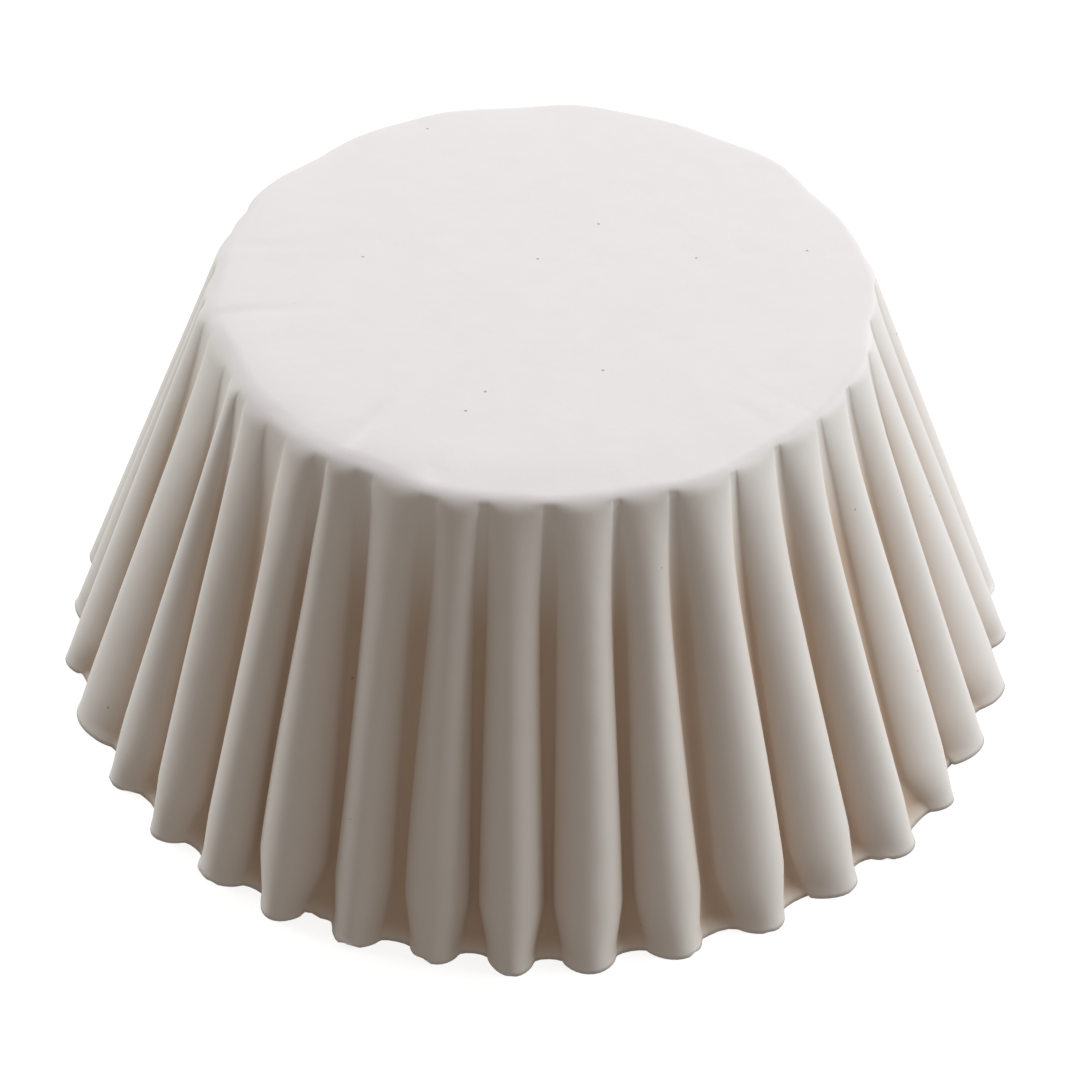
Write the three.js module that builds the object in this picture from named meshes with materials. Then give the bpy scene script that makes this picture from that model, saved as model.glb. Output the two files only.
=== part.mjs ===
// A pleated paper baking cup, turned out and standing on its cut rim with its base up.
// It is one pressed sheet of greaseproof paper: a flat round base, a soft fold round it,
// and a flared wall whose spare paper is taken up by flutes.
// Millimetres, +Z up. The origin is in the plane of the rim, on the cup's axis.
// Azimuth 0 is the front (-Y) and grows towards +X.
import * as THREE from "three";

// The pressed sheet.
const cupHeight = 32; // rim plane to the outside of the base
const baseRadius = 24.1; // where the base and the line of the ridges would meet, on average
const rimRadius = 37.4; // crest of a ridge at the cut rim
const foldRadius = 1.3; // outside of the soft fold between base and wall, on average
const foldSpread = 0.4; // how much softer the fold is on its soft side
const foldSide = 50; // degrees from the front to the soft side, towards -X
const paperThickness = 0.08;

// The flutes.
const fluteCount = 37;
const fluteDepth = 2.2; // crest to valley floor at the rim
const depthPower = 0.42; // under 1, a valley deepens quickly below the base and then slowly
const dartStart = 0.6; // share of the fold's arc that stays smooth above the darts
const valleyPart = 0.24; // share of the depth that the valley's own hollow takes
const dartShare = 0.94; // part of a pitch that the ridge takes where its darts start
const wallShare = 0.79; // the same where the valleys are fully open
const cornerShare = 0.86; // the same at the corners, where the ridges are broadest
const rimShare = 0.6; // the same at the cut rim, where the ridges end as tongues
const openingLength = 7.5; // below the base, over which the darts open into valleys
const tongueLength = 4.2; // corners to rim, over which the ridges narrow
const ridgeRoundness = 1.6; // exponent of a ridge's section: 2 is an ellipse, less is sharper

// Paper never pleats evenly. Each wave runs round the cup a whole number of times.
// These shift the flutes sideways, in degrees, at the rim and at the base.
const rimTurn = -1.7;
const rimWaves = [
  { size: 1.34, perTurn: 2, start: -171 },
  { size: 0.72, perTurn: 4, start: -104 },
  { size: 0.51, perTurn: 8, start: 166 },
];
const baseTurn = -2.97;
const baseWaves = [
  { size: 1.02, perTurn: 14, start: -143 },
  { size: 0.96, perTurn: 15, start: -14 },
];
// These draw the edge of the base in and out, in millimetres: it is not quite round.
const outlineWaves = [
  { size: 0.14, perTurn: 1, start: 48 },
  { size: 0.25, perTurn: 2, start: 61 },
  { size: 0.17, perTurn: 10, start: -167 },
  { size: 0.12, perTurn: 17, start: -2 },
];
// These make ridges stand out more or less, in millimetres at the rim.
const crestWaves = [
  { size: 0.14, perTurn: 9, start: 20 },
  { size: 0.12, perTurn: 14, start: 75 },
];
// These make flutes deeper or shallower, as shares of their depth.
const depthWaves = [
  { size: 0.08, perTurn: 11, start: 40 },
  { size: 0.07, perTurn: 16, start: 130 },
];
// These make ridges wider or narrower, as parts of a pitch.
const shareWaves = [
  { size: 0.035, perTurn: 10, start: 60 },
  { size: 0.03, perTurn: 17, start: 200 },
];

// How finely the sheet is cut into facets.
const foldSteps = 3;
const wallSteps = [0.04, 0.13, 0.3, 0.58, 0.87, 0.94, 1]; // shares of the straight wall
const ridgeAngles = [-90, -50, -17, 17, 50, 90]; // stations across a ridge, side to side
const valleyAngles = [0]; // and between its sides, across the valley

const degrees = Math.PI / 180;
const mix = THREE.MathUtils.lerp;
const ease = THREE.MathUtils.smoothstep;
const wallAngle = Math.atan2(cupHeight, rimRadius - baseRadius);

function foldRadiusAt(azimuth) {
  return foldRadius + foldSpread * Math.cos(azimuth + foldSide * degrees);
}

// The line of the crests in the plane through the axis, for one radius of the fold and of the
// base: radius, height and distance along the sheet from the edge of the flat base, round the
// fold and down the straight wall.
function crestLine(bend, base) {
  const tangent = bend * Math.tan(wallAngle / 2);
  const flatRadius = base - tangent;
  const wallLength = Math.hypot(cupHeight, rimRadius - baseRadius) - tangent;
  const line = [];
  for (let step = 0; step <= foldSteps; step += 1) {
    const angle = (wallAngle * step) / foldSteps;
    line.push({
      radius: flatRadius + bend * Math.sin(angle),
      height: cupHeight - bend * (1 - Math.cos(angle)),
      along: bend * angle,
    });
  }
  const fold = line[foldSteps];
  for (const share of wallSteps) {
    line.push({
      radius: mix(fold.radius, rimRadius, share),
      height: mix(fold.height, 0, share),
      along: fold.along + wallLength * share,
    });
  }
  return line;
}

function sumOfWaves(waves, turn) {
  return waves.reduce((sum, wave) => {
    return sum + wave.size * Math.sin(wave.perTurn * turn + wave.start * degrees);
  }, 0);
}

// Azimuth of a place counted in flutes, at a share of the way from the base to the rim.
function azimuthOf(flute, share) {
  const turn = (2 * Math.PI * flute) / fluteCount;
  const atBase = baseTurn + sumOfWaves(baseWaves, turn);
  const atRim = rimTurn + sumOfWaves(rimWaves, turn);
  return turn + mix(atBase, atRim, share) * degrees;
}

// How much of its pitch a ridge takes at a distance along the sheet: nearly all of it where the
// darts start, then less, most at the corners and least at the rim.
function ridgeShare(flute, along, length) {
  const opened = ease(along, 0, openingLength);
  const widened = ease(along, openingLength, length - tongueLength);
  const tongued = Math.max(0, 1 - (length - along) / tongueLength);
  const wall = mix(mix(dartShare, wallShare, opened), cornerShare, widened);
  const turn = (2 * Math.PI * flute) / fluteCount;
  return mix(wall, rimShare, tongued) + opened * sumOfWaves(shareWaves, turn);
}

// The stations across a flute, from the left of its ridge to the end of the valley at its
// right: how far each is from the crest, in flutes, and how high it stands between the valley
// floor, 0, and the crest, 1. The ridge is half a superellipse and the valley is half an
// ellipse, and they meet upright.
function fluteSection(share, nextShare) {
  const power = 2 / ridgeRoundness;
  const ridge = ridgeAngles.map((angle) => {
    const sine = Math.sin(angle * degrees);
    const cosine = Math.abs(Math.cos(angle * degrees));
    return {
      across: (Math.sign(sine) * Math.abs(sine) ** power * share) / 2,
      rise: mix(valleyPart, 1, cosine ** power),
    };
  });
  const side = share / 2;
  const nextSide = 1 - nextShare / 2;
  const valley = valleyAngles.map((angle) => ({
    across: (side + nextSide + Math.sin(angle * degrees) * (nextSide - side)) / 2,
    rise: valleyPart * (1 - Math.cos(angle * degrees)),
  }));
  return [...ridge, ...valley];
}

// The outer face of the sheet as rings of points, from the edge of the flat base to the rim.
function sheetRings() {
  const meanLine = crestLine(foldRadius, baseRadius);
  const length = meanLine[meanLine.length - 1].along;
  return meanLine.map((mean, row) => {
    const shareOf = (flute) => ridgeShare(flute, mean.along, length);
    const ring = [];
    for (let flute = 0; flute < fluteCount; flute += 1) {
      for (const { across, rise } of fluteSection(shareOf(flute), shareOf(flute + 1))) {
        ring.push(sheetPoint(row, flute + across, mean.along / length, rise));
      }
    }
    return ring;
  });
}

// One point: the crest line at its azimuth, sunk by the flute's depth where it is in a valley.
function sheetPoint(row, flute, share, rise) {
  const azimuth = azimuthOf(flute, share);
  const bend = foldRadiusAt(azimuth);
  const line = crestLine(bend, baseRadius + sumOfWaves(outlineWaves, azimuth));
  const { radius, height, along } = line[row];
  const start = dartStart * bend * wallAngle;
  const down = Math.max(0, along - start) / (line[line.length - 1].along - start);
  const turn = (2 * Math.PI * flute) / fluteCount;
  const depth = fluteDepth * down ** depthPower * (1 + sumOfWaves(depthWaves, turn));
  const reach = radius + down * sumOfWaves(crestWaves, turn) - depth * (1 - rise);
  return new THREE.Vector3(reach * Math.sin(azimuth), -reach * Math.cos(azimuth), height);
}

// The open sheet: the middle of the base first, then the rings.
function openSheet() {
  const rings = sheetRings();
  const stations = rings[0].length;
  const points = [new THREE.Vector3(0, 0, cupHeight), ...rings.flat()];
  const at = (ring, station) => 1 + ring * stations + (station % stations);
  const faces = [];
  for (let station = 0; station < stations; station += 1) {
    faces.push(0, at(0, station), at(0, station + 1));
    for (let ring = 1; ring < rings.length; ring += 1) {
      const corners = [at(ring - 1, station), at(ring, station)];
      const next = [at(ring - 1, station + 1), at(ring, station + 1)];
      faces.push(corners[0], corners[1], next[1]);
      faces.push(corners[0], next[1], next[0]);
    }
  }
  const sheet = new THREE.BufferGeometry().setFromPoints(points);
  sheet.setIndex(faces);
  sheet.computeVertexNormals();
  return { sheet, stations };
}

// Gives the sheet its thickness: a second face lies inside the first, along its normals, and
// a narrow band closes the cut edge. The base stays flat and the cut edge stays level.
function thicken(sheet, stations) {
  const outer = sheet.attributes.position;
  const normals = sheet.attributes.normal;
  const count = outer.count;
  const points = [];
  for (let i = 0; i < count; i += 1) {
    points.push(new THREE.Vector3().fromBufferAttribute(outer, i));
  }
  for (let i = 0; i < count; i += 1) {
    const normal = new THREE.Vector3().fromBufferAttribute(normals, i);
    if (i <= stations) normal.set(0, 0, 1);
    if (i >= count - stations) normal.setZ(0).normalize();
    points.push(points[i].clone().addScaledVector(normal, -paperThickness));
  }
  const faces = [...sheet.index.array];
  for (let i = 0; i < sheet.index.count; i += 3) {
    const [a, b, c] = sheet.index.array.slice(i, i + 3);
    faces.push(a + count, c + count, b + count);
  }
  const first = count - stations;
  for (let station = 0; station < stations; station += 1) {
    const here = first + station;
    const next = first + ((station + 1) % stations);
    faces.push(here, here + count, next);
    faces.push(next, here + count, next + count);
  }
  const shell = new THREE.BufferGeometry().setFromPoints(points);
  shell.setIndex(faces);
  shell.computeVertexNormals();
  return shell;
}

function pleatedCup() {
  const paper = new THREE.MeshStandardMaterial({
    color: 0xe9e4e0,
    roughness: 0.85,
    metalness: 0,
    name: "greaseproof_paper",
  });
  const { sheet, stations } = openSheet();
  const cup = new THREE.Mesh(thicken(sheet, stations), paper);
  cup.name = "pleated_cup";
  return cup;
}

const group = new THREE.Group();
group.add(pleatedCup());

export default group;
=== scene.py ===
# A pleated paper baking cup, turned out on its rim, on a white table under soft studio light.
import math

import bpy
import numpy as np
from mathutils import Matrix, Vector


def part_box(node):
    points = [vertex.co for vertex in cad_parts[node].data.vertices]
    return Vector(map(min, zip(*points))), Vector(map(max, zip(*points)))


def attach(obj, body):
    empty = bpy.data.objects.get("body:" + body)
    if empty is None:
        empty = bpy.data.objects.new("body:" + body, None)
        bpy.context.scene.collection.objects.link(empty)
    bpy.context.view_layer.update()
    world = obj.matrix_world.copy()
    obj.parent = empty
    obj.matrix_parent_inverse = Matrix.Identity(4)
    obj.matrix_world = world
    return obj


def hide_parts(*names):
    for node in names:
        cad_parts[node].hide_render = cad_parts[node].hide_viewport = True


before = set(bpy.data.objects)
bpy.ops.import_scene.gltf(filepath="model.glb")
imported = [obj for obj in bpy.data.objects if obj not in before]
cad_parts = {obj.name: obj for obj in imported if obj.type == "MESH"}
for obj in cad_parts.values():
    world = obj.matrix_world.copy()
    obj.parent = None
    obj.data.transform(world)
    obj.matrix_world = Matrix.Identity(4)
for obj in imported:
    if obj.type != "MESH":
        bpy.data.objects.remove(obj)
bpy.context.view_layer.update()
print("frame loaded:", sorted(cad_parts))

bpy.context.scene.view_settings.view_transform = "Standard"

# The sheet, in metres. Its height comes from the frame.
cup = {
    "baseRadius": 0.0241,       # where the base and the line of the ridges would meet
    "rimRadius": 0.0374,        # crest of a ridge at the cut rim
    "foldRadius": 0.0013,       # outside of the soft fold round the base, on average
    "foldSpread": 0.0004,       # how much softer it is on the soft side
    "foldSag": 0.0005,          # and how much more in the middle of that side
    "foldSide": 50,             # degrees from the front to the soft side, towards -X
    "softShare": 0.26,          # the darts start wider there, by this part of a pitch,
    "softPower": 0.1,           # and deepen more slowly, by this much more power
    "paperThickness": 0.00008,
    "fluteCount": 37,
    "fluteDepth": 0.0022,       # crest to valley floor at the rim
    "depthPower": 0.47,         # a valley deepens quickly at first, then slowly
    "dartStart": 0.6,           # share of the fold's arc that stays smooth above the darts
    "valleyPart": 0.24,         # part of the depth that the valley's own hollow takes
    "dartShare": 0.84,          # part of a pitch that the ridge takes where its darts start
    "wallShare": 0.75,          # the same where the valleys are fully open
    "cornerShare": 0.84,        # the same where the tongues begin
    "rimShare": 0.6,            # the same at the rim, where the ridges end as tongues
    "openingLength": 0.0075,    # over which the darts open into valleys
    "tongueLength": 0.0042,     # over which the ridges narrow at the rim
    "ridgePower": 1.6,          # a ridge falls off as this power of a cosine, 1 is an ellipse
    "rowSide": 90,              # degrees, where the rows' way down the sheet is measured
    "baseRows": 14,
    "baseCrowding": 0.7,        # power of the rows' places, less than 1 crowds them at the fold
    "foldRows": 8,
    "wallRows": 37,
    "wallCrowding": 0.62,       # 0 spaces the rows evenly, 1 crowds them at fold and rim
    "ridgeStations": 14,        # steps across one ridge
    "valleyStations": 6,        # steps across one valley
}

# Hand-fed paper never pleats evenly. A wave is its size, how many times it runs round the cup
# and where it starts, in degrees.
unevenness = {
    "rimTurn": -1.7,            # degrees that the flutes are shifted at the rim
    "rimWaves": [(1.34, 2, -171), (0.72, 4, -104), (0.51, 8, 166)],
    "baseTurn": -2.97,          # the same at the base
    "baseWaves": [(1.02, 14, -143), (0.96, 15, -14)],
    "bowWaves": [(0.45, 13, 20), (0.4, 21, 210)],          # degrees, ridges bowed halfway down
    "outlineWaves": [(0.00014, 1, 48), (0.00025, 2, 61), (0.00017, 10, -167), (0.00012, 17, -2)],
    "crestWaves": [(0.00014, 9, 20), (0.00012, 14, 75)],   # ridges standing out more or less
    "depthWaves": [(0.08, 11, 40), (0.07, 16, 130)],       # shares of the depth
    "shareWaves": [(0.05, 10, 60), (0.04, 17, 200)],       # ridges wider or narrower
    "tipWaves": [(0.08, 13, 250), (0.06, 16, 40)],         # and their tongues
    "lean": 0.34,               # crests lean away from the front, as parts of half a ridge
    "leanSide": 12,             # degrees from the front to the upright crests, towards -X
    "leanLength": 0.012,        # over which the lean sets in below the base
    "pleatWaves": [(0.5, 1, 100), (0.3, 8, 40), (0.3, 15, 10)],   # darts that run into the base
    "pleatDepth": 0.00004,
    "pleatReach": 0.0022,
    "softDip": 0.0002,          # the base sinks a little before the fold, most on the soft side
    "dipSpread": 0.4,           # share of it lost halfway round, and twice that on the far side
    "dipLength": 0.003,
    "dipFade": (0.001, 0.009),  # past the edge, where the dip ends on the wall
    "dentEdge": 0.02319,        # radius of the base's edge, where its dents end
    "dentFade": 0.0012,
    "calmRadius": 0.003,        # the middle of the base has no dents
    "baseSwell": 0.00005,       # the base is not quite flat
    "swellWaves": [(560, 230, 1), (-330, 480, 2), (170, -410, 4)],   # radians per metre, start
    "creases": [                # of the base: from x, y to x, y, and how deep
        (-0.0231, -0.0042, -0.0144, -0.0036, 0.00007),
        (-0.0123, -0.0185, -0.0097, -0.0131, 0.00018),
        (-0.0223, 0.004, -0.0168, 0.004, 0.00005),
        (0.0138, -0.015, 0.0164, -0.0168, 0.00006),
        (-0.0071, -0.0207, -0.0063, -0.0227, 0.00012),
    ],
    "creaseWidth": 0.0006,
    "creaseStart": 0.001,       # before and after its first end, over which a crease sets in
    "creaseFade": 0.3,          # share of its length after which it fades out
    "rimRaggedness": 0.00038,
    "raggedSeed": 7,
    "raggedLevel": 0.35,        # of the random steps, what is lower stays on the table
    "rimFlare": 0.3,            # share of a valley's depth lost right at the cut edge
    "flareLength": 0.0012,
}

# Scales are per metre, and a bump is its distance and its strength.
paper = {
    "color": (0.83, 0.785, 0.755, 1),
    "paintedShadeColor": (0.58, 0.44, 0.335, 1),   # painted shade, warmer and duller down in the folds, where shade falls
    "paintedShadePower": 1.3,         # of the share that a place is sunk below its crest, for the painted shade
    "paintedShadeStart": 0.34,        # share of the way to the rim where the folds have their full painted shade
    "paintedRimLight": 0.6,         # share of the painted shade lost where a valley flares: painted light from the table at the cut edge
    "roughness": 0.8,
    "cloudColor": (0.819, 0.775, 0.745, 1),  # the sheet is a little uneven in the pulp
    "cloudScale": 420,
    "cloudDetail": 5,
    "cloudRange": (0.35, 0.7),
    "crumpleScale": 400,
    "crumpleDetail": 3,
    "crumpleBump": (0.00015, 0.32),
    "grainScale": 3600,
    "grainDetail": 2,
    "grainBump": (0.00001, 0.3),
    "speckColor": (0.30, 0.26, 0.23, 1),
    "speckScale": 290,
    "speckSize": 0.036,         # share of a cell
    "speckCore": 0.6,           # share of a speck's size that has its full shade
    "speckShade": 0.8,
}

cadLow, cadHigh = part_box("pleated_cup")
cupHeight = cadHigh[2] - cadLow[2]
wallAngle = math.atan2(cupHeight, cup["rimRadius"] - cup["baseRadius"])


# Smooth step from 0 to 1: t*t*(3 - 2t) with t clamped between low and high.
def smoothStep(x, low, high):
    t = np.clip((x - low) / (high - low), 0, 1)
    return t * t * (3 - 2 * t)


# Sum over the waves of size * sin(count * turn + start).
def sumOfWaves(waves, turn):
    return sum(size * np.sin(count * turn + math.radians(start)) for size, count, start in waves)


# Turn = 2 pi * flute / flute count: the azimuth that even flutes would have.
def turnOf(flute):
    return 2 * np.pi * flute / cup["fluteCount"]


# Azimuth = turn + base shift * (1 - s) + rim shift * s + bow * 4 s^2 (1 - s), in which s is the
# share of the way to the rim.
def azimuthOf(flute, share):
    turn = turnOf(flute)
    atBase = unevenness["baseTurn"] + sumOfWaves(unevenness["baseWaves"], turn)
    atRim = unevenness["rimTurn"] + sumOfWaves(unevenness["rimWaves"], turn)
    bow = sumOfWaves(unevenness["bowWaves"], turn) * 4 * share ** 2 * (1 - share)
    return turn + np.radians(atBase * (1 - share) + atRim * share + bow)


# Nearness to the soft side: c = cos(azimuth + side), 1 there and -1 opposite.
def softSide(azimuth):
    return np.cos(azimuth + math.radians(cup["foldSide"]))


# The middle of the soft side alone: c^4, and 0 where c < 0.
def softMiddle(azimuth):
    return np.clip(softSide(azimuth), 0, 1) ** 4


# Fold radius = mean + spread * c + sag * c^4, without the sag where c < 0.
def foldRadiusAt(azimuth):
    spread = cup["foldSpread"] * softSide(azimuth)
    return cup["foldRadius"] + spread + cup["foldSag"] * softMiddle(azimuth)


# Crest line: a flat radius, an arc r = flat + R sin a, z = H - R (1 - cos a), and a straight wall.
# Rows of the base stand at t^power, rows of the wall at t - crowding * sin(2 pi t) / (2 pi).
# Returns radius, height and way along the sheet, each as an array of rows by azimuths.
def crestLine(azimuth):
    foldRadius = foldRadiusAt(azimuth)[None, :]
    tangent = foldRadius * math.tan(wallAngle / 2)
    flatRadius = cup["baseRadius"] + sumOfWaves(unevenness["outlineWaves"], azimuth) - tangent
    wallLength = math.hypot(cupHeight, cup["rimRadius"] - cup["baseRadius"]) - tangent
    base = np.linspace(0, 1, cup["baseRows"] + 1)[1:-1, None] ** cup["baseCrowding"]
    flat = base * flatRadius
    angle = np.linspace(0, wallAngle, cup["foldRows"] + 1)[:, None]
    share = np.linspace(0, 1, cup["wallRows"] + 1)[1:, None]
    share = share - cup["wallCrowding"] * np.sin(2 * np.pi * share) / (2 * np.pi)
    foldEdge = flatRadius + foldRadius * math.sin(wallAngle)
    foldLow = cupHeight - foldRadius * (1 - math.cos(wallAngle))
    radius = np.concatenate([flat,
                             flatRadius + foldRadius * np.sin(angle),
                             foldEdge + (cup["rimRadius"] - foldEdge) * share])
    height = np.concatenate([np.full_like(flat, cupHeight),
                             cupHeight - foldRadius * (1 - np.cos(angle)),
                             foldLow * (1 - share)])
    along = np.concatenate([np.zeros_like(flat),
                            foldRadius * angle,
                            foldRadius * wallAngle + wallLength * share])
    return radius, height, along


# Part of its pitch that each ridge takes in each row: from dartShare to wallShare as the darts
# open, on to cornerShare, and straight to its own tip's share over the tongue. Waves widen it
# where the valleys are open, and the soft side narrows it where the darts start.
def ridgeShares(rows, turn):
    length = rows[-1, 0]
    opened = smoothStep(rows, 0, cup["openingLength"])
    widened = smoothStep(rows, cup["openingLength"], length - cup["tongueLength"])
    tongued = np.clip(1 - (length - rows) / cup["tongueLength"], 0, 1)
    share = cup["dartShare"] + (cup["wallShare"] - cup["dartShare"]) * opened
    share = share + (cup["cornerShare"] - share) * widened
    tips = cup["rimShare"] + sumOfWaves(unevenness["tipWaves"], turn)
    share = share + (tips - share) * tongued
    share = share + opened * sumOfWaves(unevenness["shareWaves"], turn)
    return share - (1 - opened) * cup["softShare"] * softMiddle(turn)


# Ridge: across = share/2 * sin(t), rise = v + (1 - v) * cos(t)^power.
# Valley: across = middle + half width * sin(t), rise = v * (1 - cos(t)), v the valley's part.
# Share has a value for each row and flute, and a valley lies between two ridges' sides.
def fluteSection(share):
    valleyPart = cup["valleyPart"]
    ridge = np.radians(np.linspace(-90, 90, cup["ridgeStations"] + 1))[None, None, :]
    valley = np.radians(np.linspace(-90, 90, cup["valleyStations"] + 1))[None, None, 1:-1]
    side = share[:, :, None] / 2
    nextSide = 1 - np.roll(side, -1, 1)
    across = np.concatenate([
        np.sin(ridge) * side,
        (side + nextSide) / 2 + np.sin(valley) * (nextSide - side) / 2], 2)
    rise = np.concatenate([
        valleyPart + (1 - valleyPart) * np.abs(np.cos(ridge)) ** cup["ridgePower"],
        valleyPart * (1 - np.cos(valley))], 2)
    return across, np.broadcast_to(rise, across.shape)


# Each point: radius = crest - depth * (1 - rise), with depth = fluteDepth * down^power, where
# down goes from 0 at the tips of the darts to 1 at the rim, and the power is more on the soft
# side. A flute leans by moving what is below its crest sideways, by
# lean * sin(turn + side) * (1 - rise) of half its width. A valley flares at the cut edge, where
# it loses a share of its depth. Returns the points and the painted shade of the folds.
def sheetPoints():
    rows = crestLine(np.radians([cup["rowSide"]]))[2]
    length = rows[-1, 0]
    flutes = np.arange(cup["fluteCount"])[None, :]
    turn = turnOf(flutes)
    share = ridgeShares(rows, turn)
    across, rise = fluteSection(share)
    leaning = unevenness["lean"] * np.sin(turn + math.radians(unevenness["leanSide"]))
    leaning = leaning * smoothStep(rows, 0, unevenness["leanLength"])
    across = across - (leaning * share / 2)[:, :, None] * (1 - rise)
    flute = (flutes[:, :, None] + across).reshape(len(rows), -1)
    rise = rise.reshape(len(rows), -1)
    azimuth = azimuthOf(flute, rows / length)
    radius, height, along = crestLine(azimuth.mean(0))
    start = cup["dartStart"] * foldRadiusAt(azimuth.mean(0)) * wallAngle
    down = np.clip((along - start) / (length - start), 0, 1)
    turn = turnOf(flute)
    depth = cup["fluteDepth"] * down ** (cup["depthPower"] + cup["softPower"] * softMiddle(turn))
    depth = depth * (1 + sumOfWaves(unevenness["depthWaves"], turn))
    flared = smoothStep(rows, length - unevenness["flareLength"], length)
    sunk = depth * (1 - rise) * (1 - unevenness["rimFlare"] * flared)
    ringRadius = radius - sunk + down * sumOfWaves(unevenness["crestWaves"], turn)
    height = height - baseDents(ringRadius, azimuth, turn, rise)
    height[-1] += unevenness["rimRaggedness"] * raggedness(height.shape[1])
    points = np.stack([ringRadius * np.sin(azimuth), -ringRadius * np.cos(azimuth), height], -1)
    return points, paintedFoldShade(rise, down, flared)


# Painted shade of the folds = (1 - rise)^power, from 0 at the tips of the darts to the full shade at
# its start share of the way down, and less by a share where the valleys flare, as painted light.
def paintedFoldShade(rise, down, flared):
    full = (1 - rise) ** paper["paintedShadePower"] * smoothStep(down, 0, paper["paintedShadeStart"])
    return full * (1 - paper["paintedRimLight"] * flared)


# Dents of the base: pleat depth * (1 - rise) * exp(-(edge - r) / reach) where a dart runs on, a
# swell and the creases, all fading out at the edge. Below them is a dip of t^2 over the last
# millimetres before the edge, which fades out down the wall.
def baseDents(radius, azimuth, turn, rise):
    inside = unevenness["dentEdge"] - radius
    softness = 1 - unevenness["dipSpread"] * (1 - softSide(azimuth))
    near = np.clip(1 - inside / unevenness["dipLength"], 0, 1)
    dip = unevenness["softDip"] * softness * near ** 2
    dip = dip * (1 - smoothStep(-inside, *unevenness["dipFade"]))
    running = np.clip(sumOfWaves(unevenness["pleatWaves"], turn), 0, 1)
    pleat = running * (1 - rise) * np.exp(-np.clip(inside, 0, None) / unevenness["pleatReach"])
    x, y = radius * np.sin(azimuth), -radius * np.cos(azimuth)
    dents = unevenness["pleatDepth"] * pleat + unevenness["baseSwell"] * swellAt(x, y)
    for crease in unevenness["creases"]:
        dents = dents + creaseAt(x, y, *crease)
    onBase = smoothStep(radius, 0, unevenness["calmRadius"])
    onBase = onBase * (1 - smoothStep(-inside, 0, unevenness["dentFade"]))
    return dip + onBase * dents


# Swell = the mean of the plane waves (1 + sin(p x + q y + start)) / 2.
def swellAt(x, y):
    waves = [1 + np.sin(alongX * x + alongY * y + start)
             for alongX, alongY, start in unevenness["swellWaves"]]
    return sum(waves) / (2 * len(waves))


# Crease = deep * exp(-(across / width)^2), set in at its first end and fading out to its second.
def creaseAt(x, y, fromX, fromY, toX, toY, deep):
    span = math.hypot(toX - fromX, toY - fromY)
    wayX, wayY = (toX - fromX) / span, (toY - fromY) / span
    along = (x - fromX) * wayX + (y - fromY) * wayY
    across = (x - fromX) * wayY - (y - fromY) * wayX
    ends = smoothStep(along, -unevenness["creaseStart"], unevenness["creaseStart"])
    ends = ends * (1 - smoothStep(along, span * unevenness["creaseFade"], span))
    return deep * ends * np.exp(-(across / unevenness["creaseWidth"]) ** 2)


# The cut edge: seeded random steps, smoothed over three columns, and only upwards from the table.
def raggedness(columns):
    steps = np.random.default_rng(unevenness["raggedSeed"]).normal(0, 1, columns)
    smooth = (np.roll(steps, 1) + 2 * steps + np.roll(steps, -1)) / 4
    return np.clip(smooth - unevenness["raggedLevel"], 0, 1)


# Normal = cross of the differences along a column and along a ring, which points outwards.
def gridNormals(points):
    around = np.roll(points, -1, 1) - np.roll(points, 1, 1)
    down = np.gradient(points, axis=0)
    normal = np.cross(down, around)
    return normal / np.linalg.norm(normal, axis=2, keepdims=True)


# Outer grid plus the same grid moved inwards by the thickness, with a pole in the middle of each,
# closed by a band at the rim. Returns the vertices, the faces and which faces are the band.
def closedShell(points, thickness):
    normal = gridNormals(points)
    normal[:cup["baseRows"]] = (0, 0, 1)
    normal[-1, :, 2] = 0
    normal[-1] /= np.linalg.norm(normal[-1], axis=1, keepdims=True)
    inner = points - thickness * normal
    rows, columns = points.shape[:2]
    count = rows * columns
    poles = np.array([[0, 0, points[0, 0, 2]], [0, 0, points[0, 0, 2] - thickness]])
    vertices = np.concatenate([points.reshape(-1, 3), inner.reshape(-1, 3), poles])
    index = np.arange(count).reshape(rows, columns)
    after = np.roll(index, -1, 1)
    quads = np.stack([index[:-1], index[1:], after[1:], after[:-1]], -1).reshape(-1, 4)
    band = np.stack([index[-1], index[-1] + count, after[-1] + count, after[-1]], -1)
    top = np.stack([np.full(columns, 2 * count), index[0], after[0]], -1)
    under = np.stack([top[:, 0] + 1, top[:, 2] + count, top[:, 1] + count], -1)
    faces = quads.tolist() + (quads[:, ::-1] + count).tolist()
    cutEdge = slice(len(faces), len(faces) + columns)
    faces += band.tolist() + top.tolist() + under.tolist()
    return vertices, faces, cutEdge


# Smooth but for the flat faces, those of the cut edge, which keep their edges crisp.
def meshPiece(name, vertices, faces, material, paintedShade=None, flat=slice(0)):
    mesh = bpy.data.meshes.new(name)
    mesh.from_pydata(vertices.tolist(), [], faces)
    smooth = np.ones(len(mesh.polygons), dtype=bool)
    smooth[flat] = False
    mesh.polygons.foreach_set("use_smooth", smooth)
    mesh.materials.append(material)
    # the painted shade of the folds goes on the mesh as a point attribute
    if paintedShade is not None:
        mesh.attributes.new("paintedShade", "FLOAT", "POINT").data.foreach_set("value", paintedShade)
    mesh.update()
    piece = bpy.data.objects.new(name, mesh)
    bpy.context.collection.objects.link(piece)
    return piece


def linkedNoise(tree, place, scale, detail):
    noise = tree.nodes.new("ShaderNodeTexNoise")
    noise.inputs["Scale"].default_value = scale
    noise.inputs["Detail"].default_value = detail
    tree.links.new(place, noise.inputs["Vector"])
    return noise.outputs["Fac"]


def linkedMix(tree, factor, first, second):
    mix = tree.nodes.new("ShaderNodeMix")
    mix.data_type = "RGBA"
    tree.links.new(factor, mix.inputs["Factor"])
    for socket, value in (("A", first), ("B", second)):
        if isinstance(value, tuple):
            mix.inputs[socket].default_value = value
        else:
            tree.links.new(value, mix.inputs[socket])
    return mix.outputs["Result"]


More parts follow.
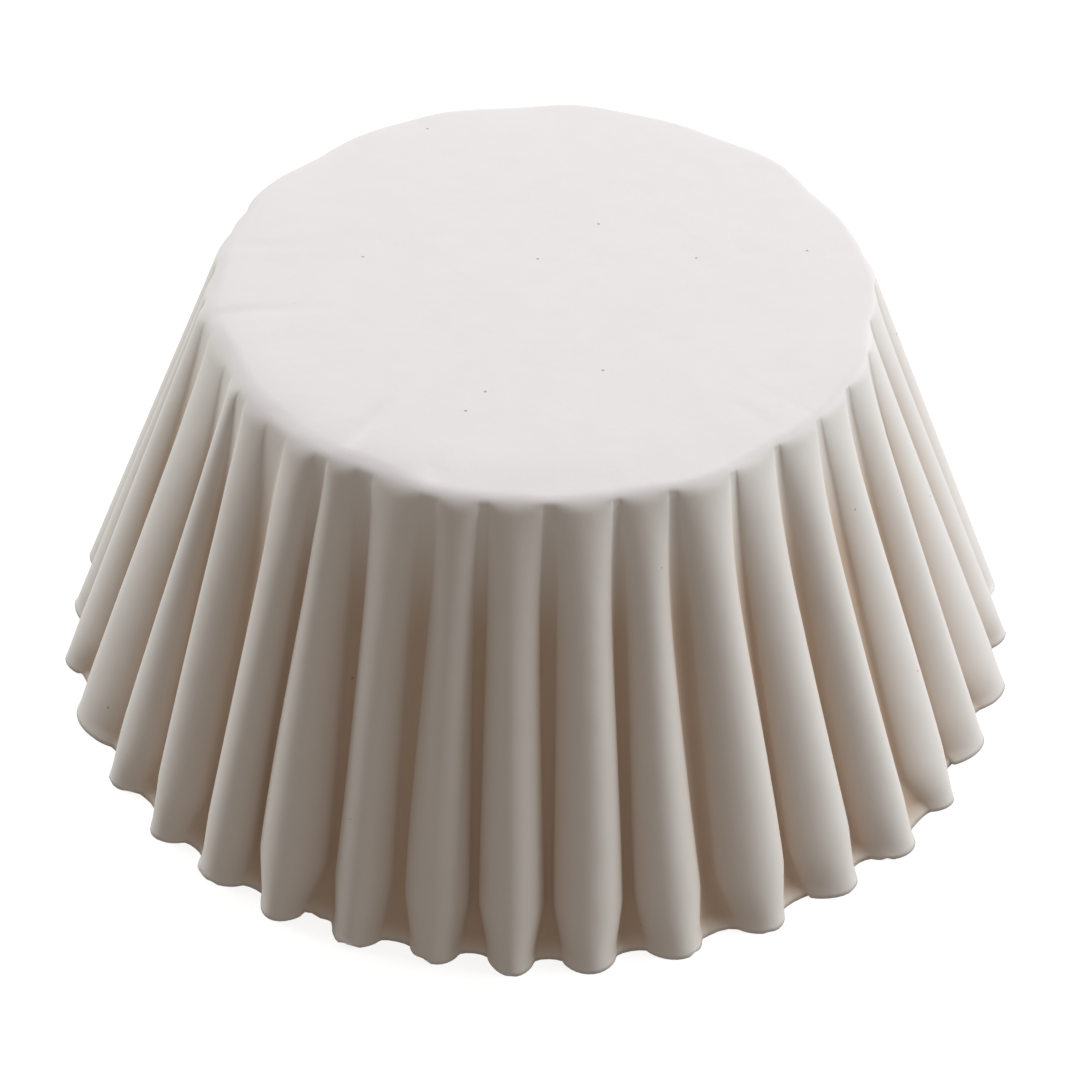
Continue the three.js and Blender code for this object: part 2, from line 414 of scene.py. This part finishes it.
def linkedRange(tree, value, low, high, toLow, toHigh):
    ranged = tree.nodes.new("ShaderNodeMapRange")
    ranged.interpolation_type = "SMOOTHSTEP"
    for socket, number in (("From Min", low), ("From Max", high), ("To Min", toLow), ("To Max", toHigh)):
        ranged.inputs[socket].default_value = number
    tree.links.new(value, ranged.inputs["Value"])
    return ranged.outputs["Result"]


def linkedBump(tree, height, distance, strength, under=None):
    bump = tree.nodes.new("ShaderNodeBump")
    bump.inputs["Distance"].default_value = distance
    bump.inputs["Strength"].default_value = strength
    tree.links.new(height, bump.inputs["Height"])
    if under is not None:
        tree.links.new(under, bump.inputs["Normal"])
    return bump.outputs["Normal"]


# Matt paper: clouds of the pulp, painted shade, warmer, down in the folds, a few specks, and bumps for
# the crumples and the grain.
def greaseproofPaper():
    material = bpy.data.materials.new("greaseproofPaper")
    material.use_nodes = True
    tree = material.node_tree
    shader = tree.nodes["Principled BSDF"]
    place = tree.nodes.new("ShaderNodeTexCoord").outputs["Object"]
    # painted shade of the folds, read from the mesh
    paintedShadeNode = tree.nodes.new("ShaderNodeAttribute")
    paintedShadeNode.attribute_name = "paintedShade"
    cloudNoise = linkedNoise(tree, place, paper["cloudScale"], paper["cloudDetail"])
    clouds = linkedRange(tree, cloudNoise, *paper["cloudRange"], 0, 1)
    pulp = linkedMix(tree, clouds, paper["color"], paper["cloudColor"])
    # the pulp darkened and warmed by the painted shade down in the folds
    paintedShadePulp = linkedMix(tree, paintedShadeNode.outputs["Fac"], pulp, paper["paintedShadeColor"])
    cells = tree.nodes.new("ShaderNodeTexVoronoi")
    cells.inputs["Scale"].default_value = paper["speckScale"]
    tree.links.new(place, cells.inputs["Vector"])
    core = paper["speckSize"] * paper["speckCore"]
    speck = linkedRange(tree, cells.outputs["Distance"], core, paper["speckSize"], paper["speckShade"], 0)
    specked = linkedMix(tree, speck, paintedShadePulp, paper["speckColor"])
    tree.links.new(specked, shader.inputs["Base Color"])
    crumples = linkedNoise(tree, place, paper["crumpleScale"], paper["crumpleDetail"])
    crumpled = linkedBump(tree, crumples, *paper["crumpleBump"])
    grain = linkedNoise(tree, place, paper["grainScale"], paper["grainDetail"])
    grained = linkedBump(tree, grain, *paper["grainBump"], crumpled)
    tree.links.new(grained, shader.inputs["Normal"])
    shader.inputs["Roughness"].default_value = paper["roughness"]
    return material


# the second value is the painted shade of the folds at each point
sheet, foldShadeValues = sheetPoints()
vertices, faces, cutEdge = closedShell(sheet, cup["paperThickness"])
paintedShade = np.concatenate([foldShadeValues.ravel(), foldShadeValues.ravel(), [0, 0]])
pleatedPaper = meshPiece("pleated_paper", vertices, faces, greaseproofPaper(), paintedShade, cutEdge)
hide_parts("pleated_cup")
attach(pleatedPaper, "root")
print("paper made:", len(faces), "faces")

# The table and the world are brighter where the camera sees them than where they light the paper.
stage = {
    "white": (1.0, 1.0, 1.0, 1),
    "floorSize": 3.0,
    "floorRoughness": 1.0,
    "seenFloor": 0.32,          # the table's grey where the camera sees it
    "seenGlow": 0.84,           # white added there, so the table reads white
    "bounceFloor": 0.05,        # the table's grey where it throws light back on the paper
    "bounceGlow": 0.2,          # and an even glow there, which the paper's shadow doesn't dim
    "bounceColor": (1.0, 0.92, 0.82, 1),
    "seenWorld": 1.0,
    "worldStrength": 0.245,
    "worldColor": (1.0, 0.88, 0.75, 1),
    "lampDistance": 0.62,
}


# The table is matt. Camera rays see it white, and all others a dim grey with a warm glow.
def tableTop():
    material = bpy.data.materials.new("whiteTable")
    material.use_nodes = True
    tree = material.node_tree
    shader = tree.nodes["Principled BSDF"]
    shader.inputs["Roughness"].default_value = stage["floorRoughness"]
    seen = tree.nodes.new("ShaderNodeLightPath").outputs["Is Camera Ray"]
    color = linkedMix(tree, seen, stage["bounceColor"], stage["white"])
    tree.links.new(color, shader.inputs["Emission Color"])
    grey = linkedRange(tree, seen, 0, 1, stage["bounceFloor"], stage["seenFloor"])
    tree.links.new(grey, shader.inputs["Base Color"])
    glow = linkedRange(tree, seen, 0, 1, stage["bounceGlow"], stage["seenGlow"])
    tree.links.new(glow, shader.inputs["Emission Strength"])
    half = stage["floorSize"] / 2
    corners = np.array([[-half, -half, 0], [half, -half, 0], [half, half, 0], [-half, half, 0]])
    floor = meshPiece("table", corners, [[0, 1, 2, 3]], material)


# Camera and glossy rays see a white world, and all others a dim warm one.
def worldLight():
    world = bpy.data.worlds.new("studio")
    bpy.context.scene.world = world
    world.use_nodes = True
    tree = world.node_tree
    background = tree.nodes["Background"]
    rays = tree.nodes.new("ShaderNodeLightPath")
    seen = tree.nodes.new("ShaderNodeMath")
    seen.operation = "MAXIMUM"
    tree.links.new(rays.outputs["Is Camera Ray"], seen.inputs[0])
    tree.links.new(rays.outputs["Is Glossy Ray"], seen.inputs[1])
    color = linkedMix(tree, seen.outputs[0], stage["worldColor"], stage["white"])
    tree.links.new(color, background.inputs["Color"])
    strength = linkedRange(tree, seen.outputs[0], 0, 1, stage["worldStrength"], stage["seenWorld"])
    tree.links.new(strength, background.inputs["Strength"])


# Azimuth is counted from the front towards +X and height above the table, both in degrees.
lamps = {
    "overhead": {"azimuth": 165, "height": 62, "size": 0.24, "power": 1.2,
                 "color": (0.94, 0.98, 1.22)},
    "right": {"azimuth": 98, "height": 28, "size": 0.34, "power": 2.7,
              "color": (0.94, 1.0, 1.02)},
    "left": {"azimuth": -122, "height": 20, "size": 0.24, "power": 2.1,
             "color": (0.93, 1.0, 0.99)},
}


# A round lamp that faces the middle of the cup.
def areaLamp(name, azimuth, height, size, power, color):
    light = bpy.data.lights.new(name, "AREA")
    light.shape = "DISK"
    light.size = size
    light.energy = power
    light.color = color
    lamp = bpy.data.objects.new(name, light)
    bpy.context.collection.objects.link(lamp)
    across, rise = math.radians(azimuth), math.radians(height)
    way = Vector((math.sin(across) * math.cos(rise), -math.cos(across) * math.cos(rise), math.sin(rise)))
    lamp.location = way * stage["lampDistance"] + Vector((0, 0, cupHeight / 2))
    lamp.rotation_euler = way.to_track_quat("Z", "Y").to_euler()


# The camera as it was fitted to the photo: metres, radians and millimetres of lens and sensor.
shot = {
    "place": (0.0, -0.1411, 0.1317),
    "target": (0.00018, 0.0, 0.0070),
    "roll": 0.0084,
    "lens": 79.8,
    "sensorWidth": 36,
    "clipStart": 0.01,
}


def photoCamera():
    camera = bpy.data.cameras.new("photoCamera")
    camera.lens = shot["lens"]
    camera.sensor_width = shot["sensorWidth"]
    camera.clip_start = shot["clipStart"]
    piece = bpy.data.objects.new("photoCamera", camera)
    bpy.context.collection.objects.link(piece)
    forward = (Vector(shot["target"]) - Vector(shot["place"])).normalized()
    side = forward.cross(Vector((0, 0, 1))).normalized()
    rise = side.cross(forward)
    right = side * math.cos(shot["roll"]) + rise * math.sin(shot["roll"])
    up = rise * math.cos(shot["roll"]) - side * math.sin(shot["roll"])
    turn = Matrix((right, up, -forward)).transposed().to_4x4()
    piece.matrix_world = Matrix.Translation(Vector(shot["place"])) @ turn
    bpy.context.scene.camera = piece


tableTop()
worldLight()
for name, lamp in lamps.items():
    areaLamp(name, **lamp)
photoCamera()
print("stage, lamps and camera set")
